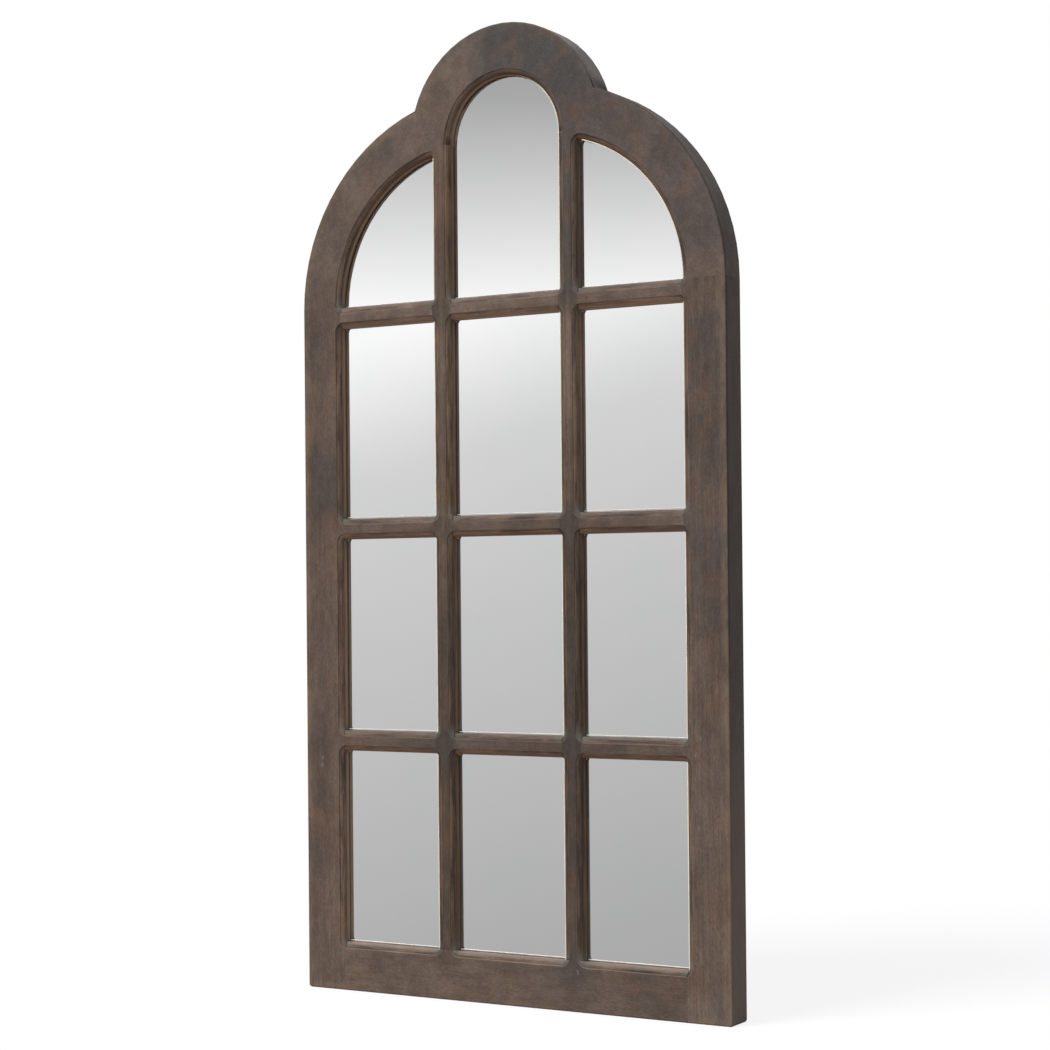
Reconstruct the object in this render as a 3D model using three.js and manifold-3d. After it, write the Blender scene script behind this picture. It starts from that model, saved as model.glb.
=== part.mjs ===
// Window-pane arch mirror: a solid wood frame with a raised crown, twelve mirror panes, a back panel
// and two ring hangers. Millimetres, +Z up. The face looks along -Y and the origin is the middle of the foot.
import * as THREE from 'three';
import { mergeVertices } from 'three/addons/utils/BufferGeometryUtils.js';
import Module from 'manifold-3d';

const wasm = await Module();
wasm.setup();

// Whole frame
const frameWidth = 610;
const frameHeight = 1220;
const frameDepth = 40;
const outerHaunchRadius = 255;
const crownLift = 82.5;
const footCornerRadius = 4;
const faceEdgeRadius = 2.5;
const backEdgeChamfer = 1;

// Sight widths, from one glass line to the next. What the arch leaves of the frame's height goes to the panes
const stileWidth = 58;
const footRailWidth = 62;
const mullionWidth = 26;
const barWidth = 26.5;
const haunchBandWidth = 67.5;
const crownBandWidth = 65;
const crownSideWidth = 57.5;
const middlePaneWidth = 157;
const plainRows = 3;

// Routed moulding round every opening: a small step down, a quarter round, and a straight wall to the glass
const stepArris = 0.5;
const stepWidth = 0.8;
const stepDepth = 1.5;
const ovoloWidth = 6.6;
const ovoloDepth = 6.5;
const routerPilotRadius = 4.5;
const glassDepth = 13;
const sightCornerRadius = 0.6;

// Glass, its rebate, and the back panel in its recess
const rebateWidth = 6;
const glassThickness = 3;
const glassEdgeClearance = 1;
const recessLap = 18;
const panelThickness = 5;
const panelEdgeClearance = 1;
const panelCornerRadius = 5;

// Joinery
const jointGap = 0.3;
const routingAllowance = 0.5;
const tenonThickness = 7;
const barTenonLength = 6;
const barTenonWidth = 12;
const mullionTenonLength = 12;
const mullionTenonWidth = 10;
const railTenonThickness = 12;
const railTenonLength = 30;
const railTenonFootShoulder = 11;
const railTenonTopShoulder = 3;
const dowelRadius = 4;
const haunchDowelLength = 40;
const crownDowelLength = 32;
const crownDowelWall = 4;
const crownDowelPitch = 18;

// Screws
const panelScrewLength = 16;
const panelScrewRadius = 1.75;
const panelScrewHeadRadius = 3.5;
const hangerScrewLength = 25;
const hangerScrewRadius = 2;
const hangerScrewHeadRadius = 4;

// Ring hangers and wall bumpers
const hangerDrop = 42.5;
const strapWidth = 14;
const strapLength = 34;
const strapThickness = 1;
const ringWireRadius = 1.25;
const ringWidth = 20;
const ringLegLength = 7;
const ringBendRadius = 2.5;
const knuckleClearance = 0.2;
const ringStandoff = 0.8;
const bumperRadius = 7;
const bumperTipRadius = 6;
const bumperThickness = 6;

// One overrun serves every cut that runs out of its piece
const overrun = 3;

// Facets
const cornerSteps = 4;
const sightCornerSteps = 1;
const haunchSteps = 15;
const crownSteps = 22;
const paneArchSteps = 22;
const ovoloSteps = 3;
const edgeSteps = 2;
const roundSides = 12;
const wireSides = 8;
const bendSteps = 3;
const loopSteps = 12;

const wood = new THREE.MeshStandardMaterial({ color: 0x5c5048, roughness: 0.72, metalness: 0, flatShading: true });
const barWood = new THREE.MeshStandardMaterial({ color: 0x655549, roughness: 0.72, metalness: 0, flatShading: true });
const mirror = new THREE.MeshStandardMaterial({ color: 0xd4d6d8, roughness: 0.05, metalness: 1, flatShading: true });
const board = new THREE.MeshStandardMaterial({ color: 0x8a6f52, roughness: 0.85, metalness: 0, flatShading: true });
const beech = new THREE.MeshStandardMaterial({ color: 0xc9a77c, roughness: 0.8, metalness: 0, flatShading: true });
const steel = new THREE.MeshStandardMaterial({ color: 0x9b9a96, roughness: 0.35, metalness: 1, flatShading: true });
const rubber = new THREE.MeshStandardMaterial({ color: 0x2b2a29, roughness: 0.9, metalness: 0, flatShading: true });

// Places that follow from the sizes
const face = -frameDepth / 2;
const back = frameDepth / 2;
const sideSight = frameWidth / 2 - stileWidth;
const mullionInner = middlePaneWidth / 2;
const mullionOuter = mullionInner + mullionWidth;
const springHeight = frameHeight - crownLift - outerHaunchRadius;
const rowPitch = (springHeight - footRailWidth) / plainRows;
const paneHeight = rowPitch - barWidth;
const sideArchRadius = outerHaunchRadius - haunchBandWidth;
const paneArchRadius = middlePaneWidth / 2;
const crownRadius = paneArchRadius + crownSideWidth;
const paneArchHeight = frameHeight - crownBandWidth - paneArchRadius;
const barBack = face + glassDepth + jointGap + glassThickness;
const panelFront = barBack + jointGap;
const panelBack = panelFront + panelThickness;

const outerArch = {
  halfWidth: frameWidth / 2,
  foot: 0,
  cornerRadius: footCornerRadius,
  springHeight,
  haunchRadius: outerHaunchRadius,
  crownHeight: frameHeight - crownRadius,
  crownRadius,
};
const recessArch = {
  halfWidth: sideSight + recessLap,
  foot: footRailWidth - recessLap,
  cornerRadius: panelCornerRadius,
  springHeight,
  haunchRadius: sideArchRadius + recessLap,
  crownHeight: paneArchHeight,
  crownRadius: paneArchRadius + recessLap,
};

// Closed solids and their booleans

function solid(geometry) {
  geometry.deleteAttribute('normal');
  geometry.deleteAttribute('uv');
  const merged = mergeVertices(geometry);
  const vertProperties = new Float32Array(merged.getAttribute('position').array);
  const triVerts = new Uint32Array(merged.getIndex().array);
  return new wasm.Manifold(new wasm.Mesh({ numProp: 3, vertProperties, triVerts }));
}

function block(x0, x1, y0, y1, z0, z1) {
  const geometry = new THREE.BoxGeometry(x1 - x0, y1 - y0, z1 - z0);
  geometry.translate((x0 + x1) / 2, (y0 + y1) / 2, (z0 + z1) / 2);
  return solid(geometry);
}

// Rings of points in the XZ plane, each at its own depth, front one first, joined into a closed solid
function loft(rings) {
  const positions = rings.flatMap(({ outline, y }) => outline.flatMap((p) => [p.x, y, p.y]));
  const count = rings[0].outline.length;
  const index = [];
  for (let ring = 0; ring < rings.length - 1; ring += 1) {
    for (let i = 0; i < count; i += 1) {
      const a = ring * count + i;
      const b = ring * count + ((i + 1) % count);
      index.push(a, a + count, b, b, a + count, b + count);
    }
  }
  const last = (rings.length - 1) * count;
  for (const [a, b, c] of THREE.ShapeUtils.triangulateShape(rings[0].outline, [])) index.push(a, b, c);
  for (const [a, b, c] of THREE.ShapeUtils.triangulateShape(rings[rings.length - 1].outline, [])) {
    index.push(last + c, last + b, last + a);
  }
  const geometry = new THREE.BufferGeometry();
  geometry.setAttribute('position', new THREE.Float32BufferAttribute(positions, 3));
  geometry.setIndex(index);
  return solid(geometry);
}

function prism(outline, y0, y1) {
  return loft([{ outline, y: y0 }, { outline, y: y1 }]);
}

// Outlines, all counter-clockwise as seen from the front

function arc(x, z, radius, from, to, steps) {
  return new THREE.EllipseCurve(x, z, radius, radius, from, to, false).getPoints(steps);
}

function mirrored(outline) {
  return outline.map((p) => new THREE.Vector2(-p.x, p.y)).reverse();
}

// Where the right haunch circle meets the crown circle, when the whole arch shrinks by inset
function notchOf(arch, inset) {
  const haunchX = arch.halfWidth - arch.haunchRadius;
  const haunch = new THREE.Vector2(haunchX, arch.springHeight);
  const crown = new THREE.Vector2(0, arch.crownHeight);
  const haunchRadius = arch.haunchRadius - inset;
  const crownRadiusHere = arch.crownRadius - inset;
  const along = crown.clone().sub(haunch);
  const distance = along.length();
  along.normalize();
  const reach = (haunchRadius ** 2 - crownRadiusHere ** 2 + distance ** 2) / (2 * distance);
  const rise = Math.sqrt(haunchRadius ** 2 - reach ** 2);
  return haunch.clone().addScaledVector(along, reach).add(new THREE.Vector2(along.y, -along.x).multiplyScalar(rise));
}

function archOutline(arch, inset) {
  const haunchX = arch.halfWidth - arch.haunchRadius;
  const notch = notchOf(arch, inset);
  const haunchEnd = Math.atan2(notch.y - arch.springHeight, notch.x - haunchX);
  const crownStart = Math.atan2(notch.y - arch.crownHeight, notch.x);
  const cornerX = arch.halfWidth - arch.cornerRadius;
  const cornerZ = arch.foot + arch.cornerRadius;
  const corner = arc(cornerX, cornerZ, arch.cornerRadius - inset, 1.5 * Math.PI, 2 * Math.PI, cornerSteps);
  const haunch = arc(haunchX, arch.springHeight, arch.haunchRadius - inset, 0, haunchEnd, haunchSteps);
  const crown = arc(0, arch.crownHeight, arch.crownRadius - inset, crownStart, Math.PI - crownStart, crownSteps);
  const right = [...corner, ...haunch];
  return [...mirrored(right), ...right, ...crown.slice(1, -1)];
}

// Openings: each gives its outline when it is grown past the sight line, with a chosen corner radius

function rectangleOpening(left, right, bottom, top) {
  return (growth, corner, steps) => {
    const x0 = left - growth + corner;
    const x1 = right + growth - corner;
    const z0 = bottom - growth + corner;
    const z1 = top + growth - corner;
    return [
      ...arc(x0, z0, corner, Math.PI, 1.5 * Math.PI, steps),
      ...arc(x1, z0, corner, 1.5 * Math.PI, 2 * Math.PI, steps),
      ...arc(x1, z1, corner, 0, 0.5 * Math.PI, steps),
      ...arc(x0, z1, corner, 0.5 * Math.PI, Math.PI, steps),
    ];
  };
}

function roundTopOpening(halfWidth, bottom, archHeight) {
  return (growth, corner, steps) => {
    const x = halfWidth + growth - corner;
    const z = bottom - growth + corner;
    return [
      ...arc(-x, z, corner, Math.PI, 1.5 * Math.PI, steps),
      ...arc(x, z, corner, 1.5 * Math.PI, 2 * Math.PI, steps),
      ...arc(0, archHeight, halfWidth + growth, 0, Math.PI, paneArchSteps),
    ];
  };
}

// The left quarter arch springs from the top bar and dies against the mullion
function quarterArchOpening(arcX, bottom, radius, right) {
  return (growth, corner, steps) => {
    const reach = radius + growth - corner;
    const x = right + growth - corner;
    const z = bottom - growth + corner;
    const footX = arcX - Math.sqrt(reach ** 2 - (z - bottom) ** 2);
    const topZ = bottom + Math.sqrt(reach ** 2 - (x - arcX) ** 2);
    const footAngle = Math.PI + Math.atan2(bottom - z, arcX - footX);
    const topAngle = Math.atan2(topZ - bottom, x - arcX);
    return [
      ...arc(footX, z, corner, footAngle, 1.5 * Math.PI, steps),
      ...arc(x, z, corner, 1.5 * Math.PI, 2 * Math.PI, steps),
      ...arc(x, topZ, corner, 0, topAngle, steps),
      ...arc(arcX, bottom, radius + growth, topAngle, footAngle, haunchSteps).slice(1, -1),
    ];
  };
}

const columnSpans = {
  left: [-sideSight, -mullionOuter],
  middle: [-mullionInner, mullionInner],
  right: [mullionOuter, sideSight],
};
const rowFeet = {
  bottom: footRailWidth,
  lower: footRailWidth + rowPitch,
  upper: footRailWidth + 2 * rowPitch,
};
const openings = {};
for (const [row, foot] of Object.entries(rowFeet)) {
  for (const [column, [left, right]] of Object.entries(columnSpans)) {
    openings[`${row}_${column}`] = rectangleOpening(left, right, foot, foot + paneHeight);
  }
}
const leftQuarter = quarterArchOpening(sideArchRadius - sideSight, springHeight, sideArchRadius, -mullionOuter);
openings.top_left = leftQuarter;
openings.top_middle = roundTopOpening(mullionInner, springHeight, paneArchHeight);
openings.top_right = (growth, corner, steps) => mirrored(leftQuarter(growth, corner, steps));

// The router's pilot runs round the opening, so the moulding turns each corner in a curve while the wall
// below it stays square. The rebate behind takes the glass
function openingCutter(opening) {
  const at = (growth, y) => ({ outline: opening(growth, growth + routerPilotRadius, cornerSteps), y });
  const square = (growth, y0, y1) => prism(opening(growth, sightCornerRadius, sightCornerSteps), y0, y1);
  const faceGrowth = ovoloWidth + stepWidth;
  const rings = [
    at(faceGrowth + stepArris, face - overrun),
    at(faceGrowth + stepArris, face),
    at(faceGrowth, face + stepArris),
    at(faceGrowth, face + stepDepth),
  ];
  for (let i = 0; i <= ovoloSteps; i += 1) {
    const turn = (i / ovoloSteps) * (Math.PI / 2);
    rings.push(at(ovoloWidth * (1 - Math.sin(turn)), face + stepDepth + ovoloDepth * (1 - Math.cos(turn))));
  }
  const rebate = square(rebateWidth, face + glassDepth, barBack + overrun);
  return loft(rings).add(square(0, face - overrun, barBack + overrun)).add(rebate);
}

// The carcass is moulded as one after glue-up, so each member is its own region of it
const edgeRings = [];
for (let i = 0; i <= edgeSteps; i += 1) {
  const turn = (i / edgeSteps) * (Math.PI / 2);
  edgeRings.push({
    outline: archOutline(outerArch, faceEdgeRadius * (1 - Math.sin(turn))),
    y: face + faceEdgeRadius * (1 - Math.cos(turn)),
  });
}
edgeRings.push({ outline: archOutline(outerArch, 0), y: back - backEdgeChamfer });
edgeRings.push({ outline: archOutline(outerArch, backEdgeChamfer), y: back });
let carcass = loft(edgeRings);
for (const opening of Object.values(openings)) carcass = carcass.subtract(openingCutter(opening));
carcass = carcass.subtract(prism(archOutline(recessArch, 0), panelFront, back + overrun));

const outside = frameWidth / 2 + overrun;
const stileEdge = sideSight - routingAllowance;
const mullionSpan = [mullionInner - routingAllowance, mullionOuter + routingAllowance];
const railTop = footRailWidth + routingAllowance;
const crownFoot = paneArchHeight;
const notch = notchOf(outerArch, 0);
const crownJointFoot = new THREE.Vector2(mullionSpan[1], crownFoot);
const crownJoint = notch.clone().sub(crownJointFoot).normalize();
const crownJointSide = new THREE.Vector2(crownJoint.y, -crownJoint.x);

function region(x0, x1, z0, z1, rear) {
  return carcass.intersect(block(x0, x1, face - overrun, rear, z0, z1));
}

// Joint sides of the crown and of the right haunch, half a gap apart from the shared line
function crownJointLine(side) {
  const shift = crownJointSide.clone().multiplyScalar((side * jointGap) / 2);
  const low = crownJointFoot.clone().add(shift);
  const high = notch.clone().add(shift).addScaledVector(crownJoint, crownRadius);
  return [low, high];
}

// Loose parts that join or cut: tenons are added to one member and cut from the next with the joint gap

const tenonFront = face + (glassDepth - tenonThickness) / 2 + stepDepth / 2;
const railTenonFront = face + (frameDepth - railTenonThickness) / 2 - stepDepth;

function barTenon(side, x, z, grow) {
  const length = barTenonLength + grow;
  const x0 = side < 0 ? x - length : x - overrun;
  const x1 = side < 0 ? x + overrun : x + length;
  const half = barTenonWidth / 2 + grow;
  return block(x0, x1, tenonFront - grow, tenonFront + tenonThickness + grow, z - half, z + half);
}

function mullionTenon(side, end, grow) {
  const x = (side * (mullionInner + mullionOuter)) / 2;
  const half = mullionTenonWidth / 2 + grow;
  const length = mullionTenonLength + grow;
  const z0 = end < 0 ? railTop - length : crownFoot - overrun;
  const z1 = end < 0 ? railTop + overrun : crownFoot + length;
  return block(x - half, x + half, tenonFront - grow, tenonFront + tenonThickness + grow, z0, z1);
}

function railTenon(side, grow) {
  const inner = stileEdge - overrun;
  const outer = stileEdge + railTenonLength + grow;
  const z0 = railTenonFootShoulder - grow;
  const z1 = recessArch.foot - railTenonTopShoulder + grow;
  const x0 = side < 0 ? -outer : inner;
  const x1 = side < 0 ? -inner : outer;
  const y1 = railTenonFront + railTenonThickness + grow;
  return block(x0, x1, railTenonFront - grow, y1, z0, z1);
}

// A dowel lies across its joint: centre in the XZ plane, and the way it points there
function dowel(centre, direction, length, grow) {
  const radius = dowelRadius + grow;
  const geometry = new THREE.CylinderGeometry(radius, radius, length + 2 * grow, roundSides);
  geometry.applyQuaternion(new THREE.Quaternion().setFromUnitVectors(
    new THREE.Vector3(0, 1, 0),
    new THREE.Vector3(direction.x, 0, direction.y),
  ));
  geometry.translate(centre.x, 0, centre.y);
  return solid(geometry);
}

// Countersunk screw driven from behind, its head flush at y
function screw(x, y, z, length, radius, headRadius, grow) {
  const headDepth = headRadius - radius;
  const profile = [
    [0, -length - grow],
    [radius + grow, radius - length],
    [radius + grow, -headDepth],
    [headRadius + grow, 0],
    [grow > 0 ? headRadius + grow : 0, grow > 0 ? overrun : 0],
    [0, grow > 0 ? overrun : 0],
  ].slice(0, grow > 0 ? 6 : 5);
  const points = profile.map(([r, h]) => new THREE.Vector2(r, h));
  const geometry = new THREE.LatheGeometry(points, roundSides);
  geometry.translate(x, y, z);
  return solid(geometry);
}

const group = new THREE.Group();
function add(name, manifold, material) {
  const { vertProperties, triVerts } = manifold.getMesh();
  const geometry = new THREE.BufferGeometry();
  geometry.setAttribute('position', new THREE.BufferAttribute(vertProperties, 3));
  geometry.setIndex(new THREE.BufferAttribute(triVerts, 1));
  geometry.computeVertexNormals();
  const mesh = new THREE.Mesh(geometry, material);
  mesh.name = name;
  group.add(mesh);
}

const sides = { left: -1, right: 1 };
const barRows = {
  bottom_bar: footRailWidth + rowPitch - barWidth / 2,
  middle_bar: footRailWidth + 2 * rowPitch - barWidth / 2,
  top_bar: springHeight - barWidth / 2,
};

// Panel screws: three up each stile, two in the foot rail and one in each haunch, on the recess ledge
const ledge = (rebateWidth + recessLap) / 2;
const stileScrewHeights = Object.values(rowFeet).map((foot) => foot + paneHeight / 2);
const haunchLedge = (sideArchRadius + ledge) * Math.SQRT1_2;
const panelScrews = {};
for (const [side, sign] of Object.entries(sides)) {
  stileScrewHeights.forEach((z, i) => {
    panelScrews[`${side}_panel_screw_${i + 1}`] = [sign * (sideSight + ledge), z];
  });
  panelScrews[`${side}_foot_panel_screw`] = [(sign * (mullionOuter + sideSight)) / 2, footRailWidth - ledge];
  const haunchX = sideSight - sideArchRadius;
  panelScrews[`${side}_haunch_panel_screw`] = [sign * (haunchX + haunchLedge), springHeight + haunchLedge];
}
function panelScrew([x, z], grow) {
  return screw(x, panelBack, z, panelScrewLength, panelScrewRadius, panelScrewHeadRadius, grow);
}

// Ring hangers, screwed to the back of the stiles beside the recess
const hangerX = (frameWidth / 2 + recessArch.halfWidth) / 2;
const hangerHeight = springHeight - hangerDrop;
const strapFront = back + jointGap;
const strapBack = strapFront + strapThickness;
const pivotY = strapBack + ringStandoff + ringWireRadius;
const knuckleRadius = ringWireRadius + knuckleClearance + strapThickness;
const loopRadius = ringWidth / 2;
const strapScrewHeights = [
  hangerHeight - ringBendRadius - ringLegLength,
  hangerHeight - strapLength + hangerScrewHeadRadius * 1.5,
];
function hangerScrew(sign, z, grow) {
  const sizes = [hangerScrewLength, hangerScrewRadius, hangerScrewHeadRadius];
  return screw(sign * hangerX, strapBack, z, ...sizes, grow);
}

function barrel(radius, length) {
  const geometry = new THREE.CylinderGeometry(radius, radius, length, roundSides);
  geometry.rotateZ(Math.PI / 2);
  return geometry;
}

function strap(sign) {
  const x = sign * hangerX;
  const half = strapWidth / 2;
  const knuckle = solid(barrel(knuckleRadius, strapWidth).translate(x, pivotY, hangerHeight));
  const bore = ringWireRadius + knuckleClearance;
  const hole = solid(barrel(bore, strapWidth + overrun).translate(x, pivotY, hangerHeight));
  const plateTop = hangerHeight;
  const plate = block(x - half, x + half, strapFront, strapBack, hangerHeight - strapLength, plateTop);
  return plate.add(knuckle).subtract(hole);
}

// The ring is one wire loop: a straight bar in the knuckle, two bends, two legs and a half round
function ring(sign) {
  const x = sign * hangerX;
  const bendX = loopRadius - ringBendRadius;
  const legFoot = -ringBendRadius - ringLegLength;
  const path = [
    ...arc(-bendX, -ringBendRadius, ringBendRadius, Math.PI / 2, Math.PI, bendSteps),
    ...arc(0, legFoot, loopRadius, Math.PI, 2 * Math.PI, loopSteps),
    ...arc(bendX, -ringBendRadius, ringBendRadius, 0, Math.PI / 2, bendSteps),
  ];
  const positions = [];
  const index = [];
  path.forEach((point, i) => {
    const before = path[(i + path.length - 1) % path.length];
    const after = path[(i + 1) % path.length];
    const into = point.clone().sub(before).normalize();
    const out = after.clone().sub(point).normalize();
    const tangent = into.clone().add(out).normalize();
    const outward = new THREE.Vector2(tangent.y, -tangent.x);
    const stretch = 1 / Math.max(into.dot(tangent), Math.SQRT1_2);
    for (let k = 0; k < wireSides; k += 1) {
      const turn = (2 * Math.PI * k) / wireSides;
      const sideways = ringWireRadius * Math.cos(turn) * stretch;
      const p = point.clone().addScaledVector(outward, sideways);
      positions.push(x + p.x, pivotY + ringWireRadius * Math.sin(turn), hangerHeight + p.y);
      const j = (i + 1) % path.length;
      const a = i * wireSides + k;
      const b = i * wireSides + ((k + 1) % wireSides);
      const c = j * wireSides + k;
      const d = j * wireSides + ((k + 1) % wireSides);
      index.push(a, b, c, b, d, c);
    }
  });
  const geometry = new THREE.BufferGeometry();
  geometry.setAttribute('position', new THREE.Float32BufferAttribute(positions, 3));
  geometry.setIndex(index);
  return solid(geometry);
}

// Dowels: two through each stile and haunch joint, two through each haunch and crown joint
const dowelInset = (frameWidth / 2 - recessArch.halfWidth) / 4;
const up = new THREE.Vector2(0, 1);

// How far up the crown joint a dowel's end first stands clear of an arc of the recess
function clearOfRecess(x, z, radius, side) {
  const end = crownJointFoot.clone().addScaledVector(crownJointSide, (side * crownDowelLength) / 2);
  end.addScaledVector(crownJoint, -dowelRadius).sub(new THREE.Vector2(x, z));
  const along = end.dot(crownJoint);
  const room = (radius + crownDowelWall) ** 2 - end.lengthSq() + along ** 2;
  return Math.sqrt(Math.max(room, 0)) - along;
}
const firstCrownDowel = Math.max(
  clearOfRecess(0, recessArch.crownHeight, recessArch.crownRadius, -1),
  clearOfRecess(recessArch.halfWidth - recessArch.haunchRadius, springHeight, recessArch.haunchRadius, 1),
);
function haunchDowels(sign, grow) {
  return [frameWidth / 2 - dowelInset, recessArch.halfWidth + dowelInset].map((x) => (
    dowel(new THREE.Vector2(sign * x, springHeight), up, haunchDowelLength, grow)
  ));
}
function crownDowels(sign, grow) {
  return [firstCrownDowel, firstCrownDowel + crownDowelPitch].map((height) => {
    const centre = crownJointFoot.clone().addScaledVector(crownJoint, height);
    const direction = crownJointSide.clone();
    centre.x *= sign;
    direction.x *= sign;
    return dowel(centre, direction, crownDowelLength, grow);
  });
}

function cutAll(member, cutters) {
  return cutters.reduce((left, cutter) => left.subtract(cutter), member);
}

// Outer frame
for (const [side, sign] of Object.entries(sides)) {
  const stileSpan = sign < 0 ? [-outside, -stileEdge] : [stileEdge, outside];
  const ledgeScrews = Object.entries(panelScrews).filter(([name]) => name.startsWith(side));
  const screwHoles = ledgeScrews.map(([, place]) => panelScrew(place, jointGap));
  const barMortises = Object.values(barRows).map((z) => barTenon(sign, sign * stileEdge, z, jointGap));
  const hangerHoles = strapScrewHeights.map((z) => hangerScrew(sign, z, jointGap));
  const stile = region(...stileSpan, -overrun, springHeight - jointGap / 2, back + overrun);
  add(`${side}_stile`, cutAll(stile, [
    railTenon(sign, jointGap), ...barMortises, ...haunchDowels(sign, jointGap), ...screwHoles, ...hangerHoles,
  ]), wood);

  const [jointLow, jointHigh] = crownJointLine(1);
  const haunchBase = springHeight + jointGap / 2;
  const haunchEnd = mullionSpan[1] + jointGap;
  const top = frameHeight + crownRadius;
  let outline = [
    new THREE.Vector2(haunchEnd, haunchBase),
    new THREE.Vector2(outside, haunchBase),
    new THREE.Vector2(outside, top),
    new THREE.Vector2(jointHigh.x, top),
    jointHigh,
    jointLow,
    new THREE.Vector2(haunchEnd, jointLow.y),
  ];
  if (sign < 0) outline = mirrored(outline);
  const haunch = carcass.intersect(prism(outline, face - overrun, back + overrun));
  add(`${side}_haunch`, cutAll(haunch, [
    ...haunchDowels(sign, jointGap), ...crownDowels(sign, jointGap), ...screwHoles,
  ]), wood);
}
const footRailBody = region(-stileEdge + jointGap, stileEdge - jointGap, -overrun, railTop, back + overrun);
const footScrewHoles = Object.keys(sides).map((side) => panelScrew(panelScrews[`${side}_foot_panel_screw`], jointGap));
const footMortises = Object.values(sides).map((sign) => mullionTenon(sign, -1, jointGap));
add('foot_rail', cutAll(
  footRailBody.add(railTenon(-1, 0)).add(railTenon(1, 0)),
  [...footScrewHoles, ...footMortises],
), wood);

// Crown
const [crownLow, crownHigh] = crownJointLine(-1);
const crownHalf = [
  new THREE.Vector2(crownLow.x, crownFoot + jointGap / 2),
  crownLow,
  crownHigh,
  new THREE.Vector2(crownHigh.x, frameHeight + crownRadius),
];
const crownBody = carcass.intersect(prism([...mirrored(crownHalf), ...crownHalf], face - overrun, back + overrun));
add('crown', cutAll(crownBody, [
  ...Object.values(sides).map((sign) => mullionTenon(sign, 1, jointGap)),
  ...Object.values(sides).flatMap((sign) => crownDowels(sign, jointGap)),
]), wood);

// Mullions and bars
for (const [side, sign] of Object.entries(sides)) {
  const [x0, x1] = sign < 0 ? [-mullionSpan[1], -mullionSpan[0]] : mullionSpan;
  const mullion = region(x0, x1, railTop + jointGap, crownFoot - jointGap / 2, barBack);
  const mortises = Object.values(barRows).flatMap((z) => [
    barTenon(1, x0, z, jointGap),
    barTenon(-1, x1, z, jointGap),
  ]);
  add(`${side}_mullion`, cutAll(
    mullion.add(mullionTenon(sign, -1, 0)).add(mullionTenon(sign, 1, 0)),
    mortises,
  ), barWood);
}
const barSpans = {
  left: [-stileEdge, -mullionSpan[1]],
  middle: [-mullionSpan[0], mullionSpan[0]],
  right: [mullionSpan[1], stileEdge],
};
for (const [row, z] of Object.entries(barRows)) {
  for (const [column, [left, right]] of Object.entries(barSpans)) {
    const half = barWidth / 2 + routingAllowance;
    const body = region(left + jointGap, right - jointGap, z - half, z + half, barBack);
    add(`${row}_${column}`, body.add(barTenon(-1, left, z, 0)).add(barTenon(1, right, z, 0)), barWood);
  }
}

// Mirror panes, back panel and its screws
const paneGrowth = rebateWidth - glassEdgeClearance;
for (const [place, opening] of Object.entries(openings)) {
  const glassFront = face + glassDepth + jointGap;
  const pane = opening(paneGrowth, sightCornerRadius, sightCornerSteps);
  add(`${place}_mirror`, prism(pane, glassFront, glassFront + glassThickness), mirror);
}
const panel = prism(archOutline(recessArch, panelEdgeClearance), panelFront, panelBack);
add('back_panel', cutAll(panel, Object.values(panelScrews).map((place) => panelScrew(place, jointGap))), board);
for (const [name, place] of Object.entries(panelScrews)) add(name, panelScrew(place, 0), steel);

// Dowels, hangers and bumpers
for (const [side, sign] of Object.entries(sides)) {
  haunchDowels(sign, 0).forEach((pin, i) => add(`${side}_haunch_dowel_${i + 1}`, pin, beech));
  crownDowels(sign, 0).forEach((pin, i) => add(`${side}_crown_dowel_${i + 1}`, pin, beech));
  add(`${side}_hanger_strap`, cutAll(strap(sign), strapScrewHeights.map((z) => hangerScrew(sign, z, jointGap))), steel);
  add(`${side}_hanger_ring`, ring(sign), steel);
  strapScrewHeights.forEach((z, i) => add(`${side}_hanger_screw_${i + 1}`, hangerScrew(sign, z, 0), steel));
  const bumper = new THREE.CylinderGeometry(bumperTipRadius, bumperRadius, bumperThickness, roundSides);
  bumper.translate(sign * hangerX, back + jointGap + bumperThickness / 2, footRailWidth / 2);
  add(`${side}_wall_bumper`, solid(bumper), rubber);
}

export default group;
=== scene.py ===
import math

import bmesh
import bpy
from mathutils import Matrix, Vector


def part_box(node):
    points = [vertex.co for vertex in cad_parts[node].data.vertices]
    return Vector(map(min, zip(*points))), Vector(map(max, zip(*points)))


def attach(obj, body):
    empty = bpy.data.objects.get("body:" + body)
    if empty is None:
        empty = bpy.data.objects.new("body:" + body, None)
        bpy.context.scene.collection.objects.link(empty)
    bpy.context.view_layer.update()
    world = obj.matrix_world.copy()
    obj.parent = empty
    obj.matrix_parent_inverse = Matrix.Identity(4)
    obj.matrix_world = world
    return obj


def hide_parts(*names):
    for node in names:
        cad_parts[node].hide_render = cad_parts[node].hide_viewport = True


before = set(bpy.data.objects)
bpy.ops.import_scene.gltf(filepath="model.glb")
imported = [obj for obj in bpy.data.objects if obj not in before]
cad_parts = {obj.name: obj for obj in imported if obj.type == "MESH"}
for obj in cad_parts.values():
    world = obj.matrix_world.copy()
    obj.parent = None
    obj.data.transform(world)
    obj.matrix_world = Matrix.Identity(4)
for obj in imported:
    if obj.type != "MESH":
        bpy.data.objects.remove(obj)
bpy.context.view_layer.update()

MM = 0.001

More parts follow.
